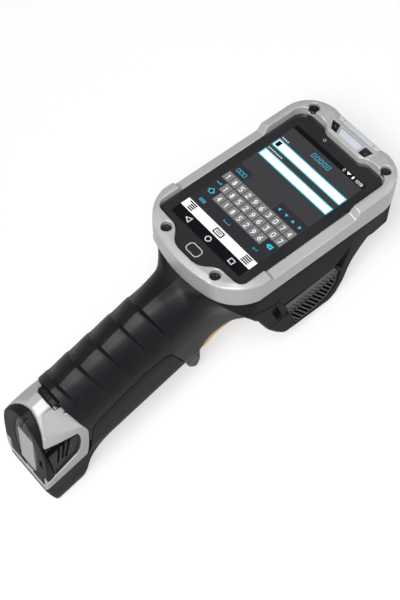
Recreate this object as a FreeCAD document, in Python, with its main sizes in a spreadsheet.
import FreeCAD, Part
import math
import os

from FreeCAD import Placement, Rotation, Vector

# Hand-held data terminal: a display head with a scan bulge on its back, and a
# trigger grip that holds a slide-in battery.  Row frame: X to the right of the
# display, Y from the grip's foot towards the head, Z up.  The device lies face
# up on the flat of its scan bulge and on the toe of its grip, so the grip is
# level and the display leans 17.6 degrees.
#
# Two working frames are used.  "Face" coordinates have their origin in the
# middle of the display: x right, y up the display, z out of the glass.
# "Grip" coordinates are parallel to the row frame, with Z = 0 on the table.

doc = FreeCAD.newDocument("Terminal")

# ---------------------------------------------------------------- dimensions
VALUES = [
    ("lean_angle", 17.6), ("face_height", 75.0), ("rest_shift", 61.891),
    ("head_half_width", 38.0), ("head_top", 65.2), ("head_corner", 19.0),
    ("seam_depth", 13.0), ("ear_height", 4.2), ("mid_rim", 0.6), ("plate_under", 3.2),
    ("bezel_wall", 2.6), ("glass_half_width", 32.3), ("glass_gap", 0.15),
    ("glass_thickness", 1.1), ("panel_width", 56.0), ("panel_height", 92.0),
    ("panel_thickness", 2.2), ("chassis_thickness", 1.6), ("board_width", 58.0),
    ("board_height", 96.0), ("board_thickness", 1.6), ("shield_thickness", 1.9),
    ("screw_head_radius", 2.7), ("screw_head_height", 1.7), ("screw_radius", 1.5),
    ("screw_length", 13.0), ("recess_radius", 3.1), ("upper_screw_x", 27.1),
    ("upper_screw_y", 56.0), ("lower_screw_x", 18.8), ("lower_screw_y", 52.5),
    ("button_travel", 0.6), ("button_gap", 0.2), ("wall", 2.4),
    ("window_width", 44.0), ("window_height", 24.0), ("window_thickness", 1.6),
    ("engine_width", 24.0), ("engine_height", 15.0), ("engine_depth", 13.0),
    ("speaker_length", 24.0), ("speaker_height", 16.0), ("speaker_depth", 5.5),
    ("rib_pitch", 1.62), ("rib_width", 0.8), ("rib_count", 20.0),
    ("trigger_half_width", 9.6), ("trigger_pin_radius", 1.5), ("trigger_pin_length", 26.0),
    ("running_gap", 0.05), ("cell_top", 71.7), ("cell_length", 70.0),
    ("label_width", 12.0), ("label_length", 31.0), ("label_thickness", 0.3),
    ("latch_travel", 1.5), ("bar_width", 15.0), ("bar_pin_radius", 0.8),
]
sheet = doc.addObject("Spreadsheet::Sheet", "Dims")
for row, (alias, value) in enumerate(VALUES, start=1):
    sheet.set("A%d" % row, alias)
    sheet.set("B%d" % row, repr(value))
    sheet.setAlias("B%d" % row, alias)
doc.recompute()


def val(alias):
    return float(getattr(sheet, alias))


SHIFT = Placement(Vector(0, val("rest_shift"), 0), Rotation())
LEAN = Placement(Vector(0, 0, val("face_height")),
                 Rotation(Vector(1, 0, 0), -val("lean_angle")))
FACE = SHIFT.multiply(LEAN)
GRIP = SHIFT

nodes = []


# ------------------------------------------------------------------- helpers
def keep(obj, label):
    obj.Label = label
    nodes.append(obj)
    return obj


def new_body(label, placement):
    body = doc.addObject("PartDesign::Body", label)
    body.Placement = placement
    return keep(body, label)


def origin_plane(body, role):
    for feature in body.Origin.OriginFeatures:
        if feature.Role == role:
            return feature
    raise ValueError(role)


def new_sketch(body, name, role="XY_Plane", offset=0.0):
    sk = body.newObject("Sketcher::SketchObject", name)
    sk.AttachmentSupport = [(origin_plane(body, role), "")]
    sk.MapMode = "FlatFace"
    if isinstance(offset, str):
        sk.setExpression(".AttachmentOffset.Base.z", offset)
    else:
        sk.AttachmentOffset = Placement(Vector(0, 0, offset), Rotation())
    return sk


def vec(p):
    return Vector(p[0], p[1], 0)


def loop(sk, segments):
    """Closed loop of ("line", a, b) and ("arc", a, mid, b) pieces."""
    for seg in segments:
        if seg[0] == "line":
            sk.addGeometry(Part.LineSegment(vec(seg[1]), vec(seg[2])), False)
        else:
            sk.addGeometry(Part.Arc(vec(seg[1]), vec(seg[2]), vec(seg[3])), False)


def polygon(sk, pts):
    loop(sk, [("line", a, b) for a, b in zip(pts, pts[1:] + pts[:1])])


def rectangle(sk, width, height, cx=0.0, cy=0.0):
    """Rectangle whose sides follow two cells of the sheet."""
    import Sketcher
    w, h = val(width) / 2, val(height) / 2
    p = [(cx - w, cy - h), (cx + w, cy - h), (cx + w, cy + h), (cx - w, cy + h)]
    n = sk.GeometryCount
    for a, b in zip(p, p[1:] + p[:1]):
        sk.addGeometry(Part.LineSegment(vec(a), vec(b)), False)
    for i in range(4):
        sk.addConstraint(Sketcher.Constraint("Coincident", n + i, 2, n + (i + 1) % 4, 1))
    for i, kind in enumerate(("Horizontal", "Vertical", "Horizontal", "Vertical")):
        sk.addConstraint(Sketcher.Constraint(kind, n + i))
    cw = sk.addConstraint(Sketcher.Constraint("DistanceX", n, 1, n, 2, 2 * w))
    ch = sk.addConstraint(Sketcher.Constraint("DistanceY", n + 1, 1, n + 1, 2, 2 * h))
    sk.setExpression("Constraints[%d]" % cw, "Dims." + width)
    sk.setExpression("Constraints[%d]" % ch, "Dims." + height)
    sk.addConstraint(Sketcher.Constraint("DistanceX", -1, 1, n, 1, cx - w))
    sk.addConstraint(Sketcher.Constraint("DistanceY", -1, 1, n, 1, cy - h))


def circle(sk, cx, cy, radius):
    import Sketcher
    r = val(radius) if isinstance(radius, str) else radius
    n = sk.addGeometry(Part.Circle(Vector(cx, cy, 0), Vector(0, 0, 1), r), False)
    c = sk.addConstraint(Sketcher.Constraint("Radius", n, r))
    if isinstance(radius, str):
        sk.setExpression("Constraints[%d]" % c, "Dims." + radius)
    sk.addConstraint(Sketcher.Constraint("DistanceX", -1, 1, n, 3, cx))
    sk.addConstraint(Sketcher.Constraint("DistanceY", -1, 1, n, 3, cy))


def set_length(feature, length):
    if isinstance(length, str):
        feature.setExpression("Length", length)
    else:
        feature.Length = length


def symmetric(feature):
    if hasattr(feature, "SideType"):
        feature.SideType = "Symmetric"
    else:
        feature.Midplane = True


def pad(body, sk, length, both=False, down=False):
    f = body.newObject("PartDesign::Pad", sk.Name + "Pad")
    f.Profile = sk
    set_length(f, length)
    f.Reversed = down
    if both:
        symmetric(f)
    body.Tip = f
    doc.recompute()
    return f


def pocket(body, sk, length, both=False, up=False):
    before = body.Shape.Volume
    f = body.newObject("PartDesign::Pocket", sk.Name + "Cut")
    f.Profile = sk
    set_length(f, length)
    f.Reversed = up
    if both:
        symmetric(f)
    body.Tip = f
    doc.recompute()
    if body.Shape.Volume > before - 1e-3:
        raise RuntimeError("nothing was cut by " + f.Name)
    return f


def wire(segments, to3d):
    edges = []
    for seg in segments:
        if seg[0] == "line":
            edges.append(Part.LineSegment(to3d(seg[1]), to3d(seg[2])).toShape())
        else:
            edges.append(Part.Arc(to3d(seg[1]), to3d(seg[2]), to3d(seg[3])).toShape())
    return Part.Wire(edges)


def lines(pts):
    return [("line", a, b) for a, b in zip(pts, pts[1:] + pts[:1])]


def prism_x(pts, x0, x1):
    w = wire(lines(pts), lambda p: Vector(x0, p[0], p[1]))
    return Part.Face(w).extrude(Vector(x1 - x0, 0, 0))


def prism_y(pts, y0, y1):
    w = wire(lines(pts), lambda p: Vector(p[0], y0, p[1]))
    return Part.Face(w).extrude(Vector(0, y1 - y0, 0))


def prism_z(segments, z0, z1):
    w = wire(segments, lambda p: Vector(p[0], p[1], z0))
    return Part.Face(w).extrude(Vector(0, 0, z1 - z0))


def block(x0, x1, y0, y1, z0, z1):
    return Part.makeBox(x1 - x0, y1 - y0, z1 - z0, Vector(x0, y0, z0))


def placed(shape, placement):
    s = shape.copy()
    s.Placement = placement.multiply(s.Placement)
    return s


def feature(label, shape, placement):
    """A moulded piece whose form is a loft or an intersection of prisms."""
    shape = shape.removeSplitter()
    if shape.ShapeType == "Compound" and len(shape.Solids) == 1:
        shape = shape.Solids[0]
    obj = doc.addObject("Part::Feature", label)
    obj.Shape = shape
    obj.Placement = placement.multiply(shape.Placement)
    return keep(obj, label)


# ------------------------------------------------------- outlines of the head
HW = val("head_half_width")
TOP = val("head_top")
RC = val("head_corner")


def head_outline(d):
    """Outline of the head in the face plane, moved inwards by d."""
    x, r, t = HW - d, RC - d, TOP - d
    cx, cy, q = HW - RC, TOP - RC, math.sqrt(0.5)
    low = (17 - 0.15 * d, -58.5 + 0.99 * d)
    return [
        ("line", (-x, -39), (-x, cy)),
        ("arc", (-x, cy), (-cx - r * q, cy + r * q), (-cx, t)),
        ("line", (-cx, t), (cx, t)),
        ("arc", (cx, t), (cx + r * q, cy + r * q), (x, cy)),
        ("line", (x, cy), (x, -39)),
        ("arc", (x, -39), (32 - 0.65 * d, -50.6 + 0.76 * d), low),
        ("arc", low, (0, -60.5 + d), (-low[0], low[1])),
        ("arc", (-low[0], low[1]), (-32 + 0.65 * d, -50.6 + 0.76 * d), (-x, -39)),
    ]


def glass_outline(d):
    """Visible edge of the cover glass, with its tongue between the lower screws."""
    x, q = val("glass_half_width") - d, math.sqrt(0.5)
    r1, r2 = 8 - d, 4.5 - d
    right = [
        ("line", (0, 51 - d), (11.5 - d * 0.3, 51 - d)),
        ("line", (11.5 - d * 0.3, 51 - d), (16.5, 53.9 - d)),
        ("line", (16.5, 53.9 - d), (24.3, 53.9 - d)),
        ("arc", (24.3, 53.9 - d), (24.3 + r1 * q, 45.9 + r1 * q), (x, 45.9)),
        ("line", (x, 45.9), (x, -43.4)),
        ("arc", (x, -43.4), (27.8 + r2 * q, -43.4 - r2 * q), (27.8, -47.9 + d)),
        ("line", (27.8, -47.9 + d), (18.2, -47.9 + d)),
        ("line", (18.2, -47.9 + d), (14.4 - 0.6 * d, -49.8 + 0.8 * d)),
        ("line", (14.4 - 0.6 * d, -49.8 + 0.8 * d), (10.6 - 0.6 * d, -54 + 0.8 * d)),
        ("line", (10.6 - 0.6 * d, -54 + 0.8 * d), (5.6, -56 + d)),
        ("line", (5.6, -56 + d), (0, -56 + d)),
    ]
    left = []
    for seg in reversed(right):
        left.append((seg[0],) + tuple((-p[0], p[1]) for p in reversed(seg[1:])))
    return right + left


UX, UY = val("upper_screw_x"), val("upper_screw_y")
LX, LY = val("lower_screw_x"), -val("lower_screw_y")

# ------------------------------------------------------------- 1. front bezel
SENSOR = [(-15.2, 58.6), (-9.9, 58.9), (-7.4, 53.4), (-11.3, 53.4)]
BUTTON = [(9.3, 58.8), (14.7, 58.8), (13.5, 53.4), (9.3, 53.4)]
LED = [(-8.6, 58.4), (8.0, 58.4), (7.6, 53.6), (-6.3, 53.6)]
STRIP = [(-16.2, 65.6), (-14.2, 61.2), (14.2, 61.2), (16.2, 65.6)]


def grown(pts, d):
    cx = sum(p[0] for p in pts) / len(pts)
    cy = sum(p[1] for p in pts) / len(pts)
    out = []
    for x, y in pts:
        out.append((x + math.copysign(d, x - cx), y + math.copysign(d, y - cy)))
    return out


bezel = new_body("bezel", FACE)
sk = new_sketch(bezel, "BezelOutline", offset="-Dims.seam_depth")
loop(sk, head_outline(0))
pad(bezel, sk, "Dims.seam_depth + Dims.ear_height")
# The rim is low along the middle of both sides, between the raised ears.
sk = new_sketch(bezel, "RimStep", "YZ_Plane")
polygon(sk, [(-33.0, 3.0), (-29.4, -0.6), (24.6, -0.6), (29.4, 4.2), (29.4, 9.0), (-33.0, 9.0)])
pocket(bezel, sk, 90.0, both=True)
sk = new_sketch(bezel, "LowerEars", "YZ_Plane")
polygon(sk, [(-64.0, 3.0), (-32.9, 3.0), (-32.9, 9.0), (-64.0, 9.0)])
pocket(bezel, sk, 90.0, both=True)
sk = new_sketch(bezel, "ChinStep", "XY_Plane", offset=1.2)
polygon(sk, [(-25.5, -46.0), (25.5, -46.0), (21.5, -63.0), (-21.5, -63.0)])
pocket(bezel, sk, 9.0, up=True)
sk = new_sketch(bezel, "GlassOpening", offset=9.0)
loop(sk, glass_outline(0))
pocket(bezel, sk, 30.0)
sk = new_sketch(bezel, "Cavity", offset="-Dims.plate_under")
loop(sk, head_outline(val("bezel_wall")))
pocket(bezel, sk, 12.0)
sk = new_sketch(bezel, "Bosses", offset="-Dims.seam_depth")
for x, y in ((UX, UY), (-UX, UY), (LX, LY), (-LX, LY)):
    circle(sk, x, y, 3.6)
pad(bezel, sk, "Dims.seam_depth - Dims.plate_under + 0.5")
sk = new_sketch(bezel, "ScrewHoles", offset=9.0)
for x, y in ((UX, UY), (-UX, UY), (LX, LY), (-LX, LY)):
    circle(sk, x, y, 1.6)
pocket(bezel, sk, 30.0)
sk = new_sketch(bezel, "UpperRecess", offset=1.4)
circle(sk, UX, UY, "recess_radius")
circle(sk, -UX, UY, "recess_radius")
pocket(bezel, sk, 6.0, up=True)
sk = new_sketch(bezel, "LowerRecess", offset=-1.6)
circle(sk, LX, LY, "recess_radius")
circle(sk, -LX, LY, "recess_radius")
pocket(bezel, sk, 6.0, up=True)
sk = new_sketch(bezel, "TopSlots", offset=9.0)
polygon(sk, grown(LED, 0.05))
polygon(sk, grown(SENSOR, 0.05))
polygon(sk, grown(BUTTON, val("button_gap")))
pocket(bezel, sk, 14.0)
sk = new_sketch(bezel, "StripSeat", offset=-4.5)
polygon(sk, grown(STRIP, 0.05))
pocket(bezel, sk, 14.0, up=True)
sk = new_sketch(bezel, "SealGroove", offset="-Dims.seam_depth")
loop(sk, head_outline(0.8))
loop(sk, head_outline(1.9))
pocket(bezel, sk, 1.0, up=True)

# -------------------------------------------------- 2. glass, display, boards
body = new_body("touch_glass", FACE)
sk = new_sketch(body, "GlassOutline", offset="-Dims.glass_thickness")
loop(sk, glass_outline(val("glass_gap")))
pad(body, sk, "Dims.glass_thickness")

body = new_body("display_panel", FACE)
sk = new_sketch(body, "PanelOutline", offset="-Dims.glass_thickness - Dims.panel_thickness - 0.02")
rectangle(sk, "panel_width", "panel_height")
pad(body, sk, "Dims.panel_thickness")

body = new_body("inner_chassis", FACE)
sk = new_sketch(body, "ChassisOutline", offset="-5.0")
loop(sk, head_outline(val("bezel_wall") + 0.3))
pad(body, sk, "Dims.chassis_thickness")
sk = new_sketch(body, "BossClearance", offset=0.0)
for x, y in ((UX, UY), (-UX, UY), (LX, LY), (-LX, LY)):
    circle(sk, x, y, 3.8)
pocket(body, sk, 12.0)
sk = new_sketch(body, "ButtonClearance", offset=0.0)
polygon(sk, grown(BUTTON, 1.0))
polygon(sk, [(-17.5, 60.7), (17.5, 60.7), (17.5, 66.0), (-17.5, 66.0)])
pocket(body, sk, 12.0)
sk = new_sketch(body, "Standoffs", offset=-5.0)
for x, y in ((24.0, 40.0), (-24.0, 40.0), (24.0, -40.0), (-24.0, -40.0)):
    circle(sk, x, y, 2.2)
pad(body, sk, 2.5, down=True)

body = new_body("main_board", FACE)
sk = new_sketch(body, "BoardOutline", offset="-7.5 - Dims.board_thickness")
rectangle(sk, "board_width", "board_height")
pad(body, sk, "Dims.board_thickness")
sk = new_sketch(body, "Connector", offset=-9.1)
polygon(sk, [(-8, -47), (8, -47), (8, -42), (-8, -42)])
pad(body, sk, 2.2, down=True)

body = new_body("board_shields", FACE)
sk = new_sketch(body, "ShieldA", offset=-9.1)
polygon(sk, [(-25, -34), (25, -34), (25, 6), (-25, 6)])
pad(body, sk, "Dims.shield_thickness", down=True)

body = new_body("power_switch", FACE)
sk = new_sketch(body, "SwitchBase", offset=-3.35)
polygon(sk, [(9.8, 54.0), (13.0, 54.0), (13.0, 58.2), (9.8, 58.2)])
pad(body, sk, 1.55, down=True)
sk = new_sketch(body, "SwitchDome", offset=-3.35)
circle(sk, 11.4, 56.1, 1.1)
pad(body, sk, 0.35)

# ---------------------------------------- 3. pieces in the bezel's upper edge
body = new_body("led_bar", FACE)
sk = new_sketch(body, "LedOutline", offset=-3.3)
polygon(sk, LED)
pad(body, sk, 6.9)

body = new_body("sensor_window", FACE)
sk = new_sketch(body, "SensorOutline", offset=-3.3)
polygon(sk, SENSOR)
pad(body, sk, 6.9)

body = new_body("power_button", FACE)
sk = new_sketch(body, "ButtonOutline", offset=-2.3)
polygon(sk, BUTTON)
pad(body, sk, 6.3)

body = new_body("top_strip", FACE)
sk = new_sketch(body, "StripOutline", offset=-4.45)
polygon(sk, [(-16.0, 65.1), (-14.2, 61.25), (14.2, 61.25), (16.0, 65.1)])
pad(body, sk, 7.6)

body = new_body("housing_seal", FACE)
sk = new_sketch(body, "SealRing", offset="-Dims.seam_depth")
loop(sk, head_outline(0.85))
loop(sk, head_outline(1.85))
pad(body, sk, 0.95)

body = new_body("bezel_screws", FACE)
for i, (x, y, z, length) in enumerate(((UX, UY, 1.4, 20.0), (-UX, UY, 1.4, 20.0),
                                       (LX, LY, -1.6, 14.8), (-LX, LY, -1.6, 14.8))):
    screw = Part.makeCylinder(val("screw_head_radius"), val("screw_head_height"), Vector(x, y, z))
    shaft = Part.makeCylinder(val("screw_radius"), length, Vector(x, y, z - length))
    socket = Part.makeCylinder(1.1, 1.0, Vector(x, y, z + val("screw_head_height") - 1.0))
    one = screw.fuse(shaft).cut(socket)
    if i == 0:
        group = [one]
    else:
        group.append(one)
doc.removeObject(nodes.pop().Name)
obj = doc.addObject("Part::Feature", "bezel_screws")
obj.Shape = Part.makeCompound(group)
obj.Placement = FACE
keep(obj, "bezel_screws")

# ------------------------------------------- 4. rear housing with scan bulge
# Side profile in face coordinates (y, z); the flat from (16, .) to (0, .) lies
# on the table.
floor = lambda y: (math.sin(math.radians(val("lean_angle"))) * y - val("face_height")) / \
    math.cos(math.radians(val("lean_angle")))
REAR = [(64.6, -13.0), (62.2, -33.0), (60.0, -35.6), (46.5, -35.4), (41.4, -33.6),
        (36.5, -38.0), (32.3, -43.5), (29.6, -50.0), (27.2, -58.8), (22.8, -68.2),
        (16.0, floor(16.0)), (0.0, floor(0.0)), (-6.0, -78.0), (-12.0, -74.6),
        (-17.2, -70.2), (-21.6, -65.0), (-27.4, -56.6), (-35.0, -41.4),
        (-43.3, -28.6), (-50.0, -20.6), (-56.0, -15.2), (-57.8, -13.0)]


def inset(pts, d):
    """Polygon moved inwards by d (the points run clockwise seen along -X)."""
    n = len(pts)
    area = sum(pts[i][0] * pts[(i + 1) % n][1] - pts[(i + 1) % n][0] * pts[i][1] for i in range(n))
    s = 1.0 if area > 0 else -1.0
    out = []
    for i in range(n):
        ax, ay = pts[i - 1]
        bx, by = pts[i]
        cx, cy = pts[(i + 1) % n]
        l1 = math.hypot(bx - ax, by - ay)
        l2 = math.hypot(cx - bx, cy - by)
        n1 = (-s * (by - ay) / l1, s * (bx - ax) / l1)
        n2 = (-s * (cy - by) / l2, s * (cx - bx) / l2)
        k = 1.0 + n1[0] * n2[0] + n1[1] * n2[1]
        out.append((bx + d * (n1[0] + n2[0]) / k, by + d * (n1[1] + n2[1]) / k))
    return out


def rear_section(d):
    x = HW - 0.4 - d
    return [(-x, -12.9 + d), (x, -12.9 + d), (x - 0.9, -70.0 + d), (x - 3.4, -75.5 + d),
            (x - 8.0, -79.5 + d), (-x + 8.0, -79.5 + d), (-x + 3.4, -75.5 + d), (-x + 0.9, -70.0 + d)]


def rear_solid(d):
    prof = REAR if d == 0 else inset(REAR, d)
    a = prism_x(prof, -50, 50)
    b = prism_z(head_outline(0.35 + d), -90, -13.0 if d == 0 else -5.0)
    c = prism_y([(x, z if z < -20 else z + 20) for x, z in rear_section(d)], -70, 70)
    return a.common(b).common(c)


rear_outer = rear_solid(0)
inner_profile = inset(REAR, val("wall"))
inner_profile[0] = (inner_profile[0][0], -5.0)
inner_profile[-1] = (inner_profile[-1][0] + 1.5, -5.0)
a = prism_x(inner_profile, -50, 50)
b = prism_z(head_outline(0.35 + val("wall")), -90, -5.0)
c = prism_y([(x, z if z < -20 else z + 20) for x, z in rear_section(val("wall"))], -70, 70)
rear_inner = a.common(b).common(c)

# Slanted scan window: its own frame, z along the outward normal.
WN = Vector(0, 0.897, -0.441)
win_rot = Rotation(Vector(1, 0, 0), Vector(0, WN.z, -WN.y), WN, "ZXY")
WIN = Placement(Vector(0, 28.9, -54.9).sub(Vector(WN).multiply(2.9)), win_rot)
ww, wh, wt = val("window_width"), val("window_height"), val("window_thickness")
win_seat = placed(block(-ww / 2 - 0.1, ww / 2 + 0.1, -wh / 2 - 0.1, wh / 2 + 0.1, -wt, 22), WIN)
win_hole = placed(block(-ww / 2 + 3, ww / 2 - 3, -wh / 2 + 3, wh / 2 - 3, -12, 22), WIN)
win_frame = placed(block(-ww / 2 - 2.5, ww / 2 + 2.5, -wh / 2 - 2.5, wh / 2 + 2.5, -wt - 2.2, 0.2), WIN)

posts = []
for x, y in ((UX, UY), (-UX, UY)):
    posts.append(Part.makeCylinder(3.4, 24.0, Vector(x, y, -36.0)))
for x, y in ((LX, LY), (-LX, LY)):
    posts.append(Part.makeCylinder(3.4, 6.0, Vector(x, y, -19.0)))
rear = rear_outer.cut(rear_inner)
extra = win_frame
for p in posts:
    extra = extra.fuse(p)
rear = rear.fuse(extra.common(rear_outer))
rear = rear.cut(win_seat).cut(win_hole)
for x, y, length in ((UX, UY, 18.6), (-UX, UY, 18.6), (LX, LY, 16.4), (-LX, LY, 16.4)):
    rear = rear.cut(Part.makeCylinder(val("screw_radius"), length, Vector(x, y, -length)))
# Cable way into the grip.
rear = rear.cut(block(-11, 11, -60, -34, -40, -22))
rear_w = placed(rear, LEAN)

# Side grilles: a D-shaped opening in each side of the bulge (grip coordinates).
GRILLE = [(4.4, 34.2), (6.2, 24.5), (2.1, 16.6), (-5.0, 11.4), (-14.3, 10.9), (-28.0, 14.2),
          (-29.4, 42.9)]
for s in (1, -1):
    cutter = prism_x(inset(GRILLE, -0.1), 30.0 * s, 42.0 * s)
    rear_w = rear_w.cut(cutter)
    # Strap slot and small relief slot beside it.
    slot = prism_x([(-34.0, 50.4), (-33.6, 34.2), (-36.3, 34.6), (-37.5, 50.6)], 35.6 * s, 42.0 * s)
    rear_w = rear_w.cut(slot)

# ----------------------------------------------------- 5. envelope of the grip
# Half sections: (half width, height) from the front (down) to the back (up).
MAIN = [(10.0, 24.0), (15.5, 26.5), (18.5, 33.0), (19.0, 45.0), (18.8, 56.0), (17.0, 66.0),
        (12.5, 74.5), (6.0, 80.0), (0.0, 82.0)]
SECTIONS = [
    (-43.0, [(10.0, 27.0), (15.5, 27.6), (18.6, 32.0), (21.0, 42.0), (25.0, 52.0), (31.0, 61.0),
             (35.5, 68.0), (36.0, 73.0), (0.0, 73.5)]),
    (-52.0, [(10.0, 28.5), (15.5, 29.3), (17.8, 34.0), (19.4, 44.0), (22.4, 55.0), (27.0, 65.0),
             (31.3, 73.0), (31.3, 77.6), (0.0, 77.8)]),
    (-58.6, [(10.0, 29.5), (15.5, 30.3), (17.4, 35.0), (18.4, 45.0), (19.6, 56.0), (21.6, 65.0),
             (22.0, 73.0), (17.0, 78.9), (0.0, 79.7)]),
    (-66.0, [(10.0, 30.3), (15.5, 31.0), (17.3, 35.0), (18.0, 45.0), (18.3, 56.0), (17.5, 65.0),
             (13.8, 72.5), (7.0, 77.2), (0.0, 78.6)]),
    (-76.0, [(10.0, 30.3), (15.5, 31.0), (17.4, 35.0), (18.0, 45.0), (18.0, 56.0), (16.6, 65.0),
             (12.2, 73.0), (6.0, 78.0), (0.0, 79.8)]),
    (-89.0, [(10.0, 24.6), (15.5, 27.0), (18.3, 33.0), (18.8, 45.0), (18.6, 56.0), (16.8, 66.0),
             (12.3, 74.3), (6.0, 79.8), (0.0, 81.8)]),
    (-149.0, MAIN),
    (-187.5, MAIN),
]


def section_wire(y, half):
    pts = list(half) + [(-w, z) for w, z in reversed(half) if w > 0]
    return wire(lines(pts), lambda p: Vector(p[0], y, p[1]))


grip_env = Part.makeLoft([section_wire(y, h) for y, h in SECTIONS], True, True)
lip = prism_x([(-76.4, 34.0), (-76.6, 24.0), (-77.8, 11.0), (-79.6, 5.4), (-82.4, 3.2),
               (-84.2, 5.0), (-86.0, 12.0), (-88.0, 22.0), (-91.0, 30.0)], -12.6, 12.6)
toe_side = prism_x([(-136.0, 40.0), (-140.0, 24.1), (-145.0, 23.6), (-151.0, 21.4), (-157.5, 15.2),
                    (-162.0, 8.2), (-166.0, 2.4), (-169.0, 0.0), (-185.0, 0.0), (-186.9, 2.6),
                    (-187.2, 14.0), (-186.6, 40.0)], -16, 16)
toe_front = prism_y([(-12.6, 0.0), (12.6, 0.0), (14.8, 3.0), (15.4, 12.0), (15.5, 27.0), (15.5, 40.0),
                     (-15.5, 40.0), (-15.5, 27.0), (-15.4, 12.0), (-14.8, 3.0)], -190, -130)
toe = toe_side.common(toe_front)
END = [(-166.3, 84.0), (-186.7, 24.0), (-187.4, 14.0), (-187.4, -5.0), (-200.0, -5.0), (-200.0, 90.0)]
envelope = grip_env.fuse(toe)
envelope = envelope.cut(prism_x(END, -40, 40))

# Seam of the front cover, upper edge of the collar, end cap and latch regions.
COVER = [(-86.2, -5.0), (-86.2, 28.4), (-87.4, 37.0), (-89.4, 50.4), (-92.0, 56.0), (-94.6, 57.8),
         (-107.8, 59.0), (-123.0, 58.3), (-137.6, 56.5), (-144.0, 55.0), (-146.0, 52.3),
         (-151.5, 39.0), (-156.3, 29.6), (-159.4, 27.0), (-172.0, 26.3), (-190.0, 25.4),
         (-190.0, -5.0)]
COLLAR = [(-149.2, 90.0), (-149.2, 76.0), (-147.2, 58.0), (-147.2, 55.0), (-150.6, 45.0),
          (-156.4, 31.0), (-158.5, 24.0), (-192.0, 24.0), (-192.0, 90.0)]
CAP = [(-159.2, 84.0), (-160.4, 82.0), (-170.5, 68.0), (-172.2, 60.0), (-176.4, 39.9),
       (-188.0, 38.0), (-192.0, 38.0), (-192.0, 90.0), (-159.2, 90.0)]
LATCH = [(-152.9, 60.4), (-152.6, 56.8), (-154.2, 50.8), (-157.4, 44.8), (-160.2, 42.6),
         (-176.4, 39.9), (-172.2, 60.0), (-170.5, 68.0), (-169.6, 68.2)]
gap = 0.12
bay_pts = [(-14.8, 29.6), (14.8, 29.6), (14.8, 60.0), (9.6, 72.2), (-9.6, 72.2), (-14.8, 60.0)]
bay = prism_y(bay_pts, -195.0, -94.0)
rear_solid_w = placed(rear_outer, LEAN)
face_side = placed(block(-60, 60, -90, 90, -12.95, 40), LEAN)

# ----------------------------------------------------------- 6. grip shell
shell = grip_env.fuse(lip)
shell = shell.cut(rear_solid_w).cut(face_side)
shell = shell.cut(prism_x(inset(COVER, -gap / 2), -40, 40))
shell = shell.cut(prism_x(inset(COLLAR, -gap / 2), -40, 40))
shell = shell.cut(bay)
shell = shell.cut(block(-12.5, 12.5, -95.0, -84.0, 34.0, 66.0))      # contact bay
shell = shell.cut(block(-11.0, 11.0, -86.0, -40.0, 37.0, 68.0))      # cable way
shell = shell.cut(block(-9.9, 9.9, -76.2, -40.0, -5.0, 40.0))        # trigger well
bar_notch = block(-7.7, 7.7, -154.0, -148.0, 73.9, 90.0)
shell = shell.cut(bar_notch)
pin_y, pin_z = -52.0, 34.0
pin_r = val("trigger_pin_radius")
shell = shell.cut(Part.makeCylinder(pin_r, 26.0, Vector(-13.0, pin_y, pin_z), Vector(1, 0, 0)))
feature("grip_shell", shell, GRIP)

# Front cover of the grip, with the toe it stands on.
cover = envelope.common(prism_x(inset(COVER, gap / 2), -40, 40))
cover = cover.cut(bay)
cover = cover.cut(prism_y([(-12.6, 26.6), (12.6, 26.6), (14.8, 33.0), (14.8, 60.0), (-14.8, 60.0),
                           (-14.8, 33.0)], -150.0, -92.0))
cover = cover.cut(prism_x([(-159.5, 27.0), (-164.0, 14.0), (-169.0, 5.0), (-182.0, 5.0),
                           (-182.0, 27.0)], -12.2, 12.2))
cover = cover.cut(lip)
cover = cover.cut(block(-12.5, 12.5, -95.0, -84.0, 34.0, 66.0))
feature("grip_front_cover", cover, GRIP)

# Painted collar at the foot of the grip.
collar = envelope.common(prism_x(inset(COLLAR, gap / 2), -40, 40))
collar = collar.cut(prism_x(inset(COVER, -gap / 2), -40, 40))
collar = collar.cut(prism_x(inset(CAP, -0.1), -40, 40))
collar = collar.cut(prism_x(inset(LATCH, -0.1), -40, 40))
collar = collar.cut(bay)
collar = collar.cut(block(-7.7, 7.7, -154.0, -140.0, 73.9, 90.0))
feature("base_collar", collar, GRIP)

# Bar that the wrist strap loops round, in a notch in the back of the grip.
body = new_body("lanyard_bar", GRIP)
sk = new_sketch(body, "BarSide", "YZ_Plane")
polygon(sk, [(-153.8, 74.0), (-148.2, 74.0), (-148.2, 80.6), (-149.6, 81.6), (-152.6, 81.4),
             (-153.8, 80.0)])
pad(body, sk, "Dims.bar_width", both=True)
sk = new_sketch(body, "BarPinHole", "YZ_Plane")
circle(sk, -151.4, 78.4, "bar_pin_radius")
pocket(body, sk, 40.0, both=True)
body = new_body("lanyard_pin", GRIP)
sk = new_sketch(body, "BarPin", "YZ_Plane")
circle(sk, -151.4, 78.4, "bar_pin_radius")
pad(body, sk, 15.3, both=True)

# --------------------------------------------------------------- 7. trigger
TRIGGER = [(-47.8, 33.0), (-47.6, 16.0), (-48.2, 9.4), (-50.0, 7.8), (-53.5, 8.4), (-57.0, 9.8),
           (-60.2, 10.4), (-64.0, 9.6), (-68.0, 8.2), (-71.5, 7.0), (-73.2, 7.4), (-73.6, 9.2),
           (-73.0, 14.0), (-70.5, 19.0), (-66.0, 23.4), (-60.0, 27.4), (-56.0, 31.2),
           (-55.6, 35.6), (-53.6, 37.6), (-50.4, 37.6), (-48.6, 36.2)]
body = new_body("trigger", GRIP)
sk = new_sketch(body, "TriggerSide", "YZ_Plane")
polygon(sk, TRIGGER)
pad(body, sk, "2 * Dims.trigger_half_width", both=True)
sk = new_sketch(body, "TriggerBore", "YZ_Plane")
circle(sk, pin_y, pin_z, val("trigger_pin_radius") + val("running_gap"))
pocket(body, sk, 40.0, both=True)
sk = new_sketch(body, "SpringPocket", "YZ_Plane")
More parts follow.
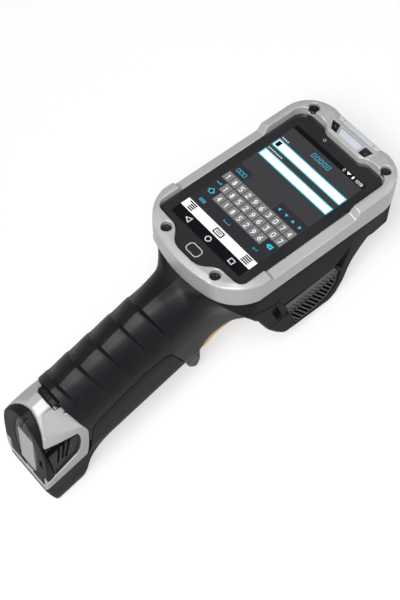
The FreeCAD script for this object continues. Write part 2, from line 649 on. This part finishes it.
polygon(sk, [(-58.4, 29.5), (-46.0, 29.5), (-46.0, 40.0), (-58.4, 40.0)])
pocket(body, sk, 7.0, both=True)

body = new_body("trigger_pin", GRIP)
sk = new_sketch(body, "PinSection", "YZ_Plane")
circle(sk, pin_y, pin_z, "trigger_pin_radius")
pad(body, sk, "Dims.trigger_pin_length", both=True)

body = new_body("trigger_spring", GRIP)
sk = new_sketch(body, "CoilSection", "YZ_Plane")
circle(sk, pin_y, pin_z, 2.9)
circle(sk, pin_y, pin_z, 1.9)
pad(body, sk, 5.6, both=True)

body = new_body("trigger_switch", GRIP)
sk = new_sketch(body, "SwitchSide", "YZ_Plane")
polygon(sk, [(-69.5, 31.0), (-62.5, 31.0), (-62.5, 37.0), (-69.5, 37.0)])
pad(body, sk, 9.0, both=True)
sk = new_sketch(body, "SwitchPlunger", "YZ_Plane")
polygon(sk, [(-67.5, 27.0), (-64.9, 26.8), (-64.9, 31.5), (-67.5, 31.5)])
pad(body, sk, 3.0, both=True)

body = new_body("trigger_board", GRIP)
sk = new_sketch(body, "TriggerBoardSide", "YZ_Plane")
polygon(sk, [(-75.6, 37.05), (-57.5, 37.05), (-57.5, 38.4), (-75.6, 38.4)])
pad(body, sk, 19.4, both=True)

# ------------------------------------------------------------- 8. rear pieces
feature("rear_housing", rear_w.cut(block(-11.5, 11.5, -60, -44, 32, 68)), GRIP)

for s, side in ((1, "right"), (-1, "left")):
    plate = new_body("side_grille_" + side, GRIP)
    lo, hi = (34.9, 36.2) if s > 0 else (-36.2, -34.9)
    sk = new_sketch(plate, "GrillePlate" + side, "YZ_Plane", offset=lo)
    polygon(sk, GRILLE)
    pad(plate, sk, 1.3)
    sk = new_sketch(plate, "GrilleRib" + side, "YZ_Plane", offset=(36.2 if s > 0 else -36.2))
    polygon(sk, [(1.3, 20.5), (1.3, 30.5), (0.5, 30.5), (0.5, 20.5)])
    rib = pad(plate, sk, 0.75, down=(s < 0))
    sk.Visibility = False
    pattern = plate.newObject("PartDesign::LinearPattern", "GrilleRibs" + side)
    pattern.Originals = [rib]
    axis = [f for f in plate.Origin.OriginFeatures if f.Role == "Y_Axis"][0]
    pattern.Direction = (axis, [""])
    pattern.Reversed = True
    pattern.Length = val("rib_pitch") * (17 - 1)
    pattern.Occurrences = 17
    plate.Tip = pattern
    doc.recompute()

    body = new_body("speaker_" + side, FACE)
    x0 = 28.6 if s > 0 else -28.6 - val("speaker_depth")
    sk = new_sketch(body, "SpeakerSide" + side, "YZ_Plane", offset=x0)
    rectangle(sk, "speaker_length", "speaker_height", 2.5, -49.0)
    pad(body, sk, "Dims.speaker_depth")

WINF = FACE.multiply(WIN)
body = new_body("scan_window", WINF)
sk = new_sketch(body, "WindowOutline", offset="-Dims.window_thickness")
rectangle(sk, "window_width", "window_height")
pad(body, sk, "Dims.window_thickness")

body = new_body("scan_engine", WINF)
sk = new_sketch(body, "EngineOutline", offset="-6.5 - Dims.engine_depth")
rectangle(sk, "engine_width", "engine_height")
pad(body, sk, "Dims.engine_depth")
sk = new_sketch(body, "EngineLens", offset=-6.5)
circle(sk, -6.0, 0.0, 3.4)
pad(body, sk, 2.4)

body = new_body("antenna", FACE)
sk = new_sketch(body, "AntennaOutline", offset=-31.8)
polygon(sk, [(-20, 47.5), (20, 47.5), (20, 56.5), (-20, 56.5)])
pad(body, sk, 0.5)

# ------------------------------------------------ 9. power path in the grip
body = new_body("contact_block", GRIP)
sk = new_sketch(body, "BlockSide", "YZ_Plane")
polygon(sk, [(-92.6, 38.0), (-87.0, 38.0), (-87.0, 62.0), (-92.6, 62.0)])
pad(body, sk, 24.6, both=True)

pins = []
for i, x in enumerate((-7.5, -2.5, 2.5, 7.5)):
    pins.append(Part.makeCylinder(0.9, 3.3, Vector(x, -95.9, 50.0), Vector(0, 1, 0)))
obj = doc.addObject("Part::Feature", "contact_pins")
obj.Shape = Part.makeCompound(pins)
obj.Placement = GRIP
keep(obj, "contact_pins")

body = new_body("power_ribbon", GRIP)
sk = new_sketch(body, "RibbonSide", "YZ_Plane")
polygon(sk, [(-87.0, 54.0), (-78.0, 57.0), (-66.0, 63.6), (-46.8, 65.4), (-45.5, 70.0), (-46.1, 70.2),
             (-47.3, 66.0), (-66.2, 64.2), (-78.2, 57.6), (-87.0, 54.6)])
pad(body, sk, 12.0, both=True)

# ------------------------------------------------------ 10. battery and latches
core_pts = [(-14.4, 30.0), (14.4, 30.0), (14.4, 59.8), (9.3, 71.7), (-9.3, 71.7), (-14.4, 59.8)]
core_all = prism_y(core_pts, -190.0, -96.0)
pocket_x = val("latch_travel") + 0.9


def latch_zone(s, x_in, x_out, d):
    return prism_x(inset(LATCH, d), x_in * s, x_out * s)


FOOT = [(-176.4, 40.2), (-179.8, 28.6), (-195.0, 28.6), (-195.0, 40.2)]
core = core_all.cut(prism_x(CAP, -40, 40)).cut(prism_x(FOOT, -40, 40))
core = core.cut(latch_zone(1, 11.4, 40, -0.6)).cut(latch_zone(-1, 11.4, 40, -0.6))
feature("battery_pack", core, GRIP)

cap_env = envelope.cut(prism_x(inset(COVER, -0.2), -40, 40))
cap = cap_env.common(prism_x(inset(CAP, 0.1), -40, 40))
cap = cap.fuse(core_all.common(prism_x(inset(FOOT, 0.05), -40, 40)).cut(prism_x(END, -40, 40)))
END_DIR = Vector(0, -20.4, -60.0).normalize()
END_N = Vector(0, -60.0, 20.4).normalize()
end_rot = Rotation(Vector(1, 0, 0), END_DIR, END_N, "ZXY")
end_mid = Vector(0, -176.2, 54.9)
LABEL = Placement(end_mid, end_rot)
cap = cap.cut(placed(block(-6.2, 6.2, -15.7, 15.7, -0.35, 5.0), LABEL))
feature("battery_end_cap", cap, GRIP)

body = new_body("battery_label", GRIP.multiply(LABEL))
sk = new_sketch(body, "LabelOutline", offset=-0.35)
rectangle(sk, "label_width", "label_length")
pad(body, sk, "Dims.label_thickness")

for s, side in ((1, "right"), (-1, "left")):
    latch = envelope.common(latch_zone(s, 14.9, 40, 0.15))
    for k in range(3):
        y0 = -156.6 - 2.6 * k
        groove = prism_x([(y0, 66.0), (y0 - 0.9, 66.0), (y0 - 4.5, 42.0), (y0 - 3.6, 42.0)], 17.8 * s, 40 * s)
        latch = latch.cut(groove)
    stem = prism_x([(-159.0, 47.0), (-168.0, 46.0), (-168.0, 58.0), (-159.0, 59.0)],
                   (11.6 + val("latch_travel")) * s, 15.2 * s)
    latch = latch.fuse(stem)
    feature("battery_latch_" + side, latch, GRIP)

# ------------------------------------------------------------------ checking
doc.recompute()
for obj in doc.Objects:
    state = [str(x) for x in obj.State]
    if "Invalid" in state or "Error" in state:
        raise RuntimeError("%s: %s" % (obj.Name, state))
low, high = None, None
for obj in nodes:
    shape = obj.Shape
    if shape.isNull() or not shape.isValid():
        raise RuntimeError(obj.Label + ": bad shape")
    box = shape.BoundBox
    n = len(shape.Solids)
    print("%-22s solids %d volume %9.1f  x %7.2f %7.2f  y %8.2f %8.2f  z %7.2f %7.2f" % (
        obj.Label, n, shape.Volume, box.XMin, box.XMax, box.YMin, box.YMax, box.ZMin, box.ZMax))
    if n < 1 or shape.Volume < 1e-3:
        raise RuntimeError(obj.Label + ": no solid")
    lo = (box.XMin, box.YMin, box.ZMin)
    hi = (box.XMax, box.YMax, box.ZMax)
    low = lo if low is None else tuple(min(a, b) for a, b in zip(low, lo))
    high = hi if high is None else tuple(max(a, b) for a, b in zip(high, hi))
print("whole object", [round(v, 3) for v in low], [round(v, 3) for v in high])

os.makedirs("parts", exist_ok=True)
for obj in nodes:
    obj.Shape.exportStep("parts/%s.step" % obj.Label)
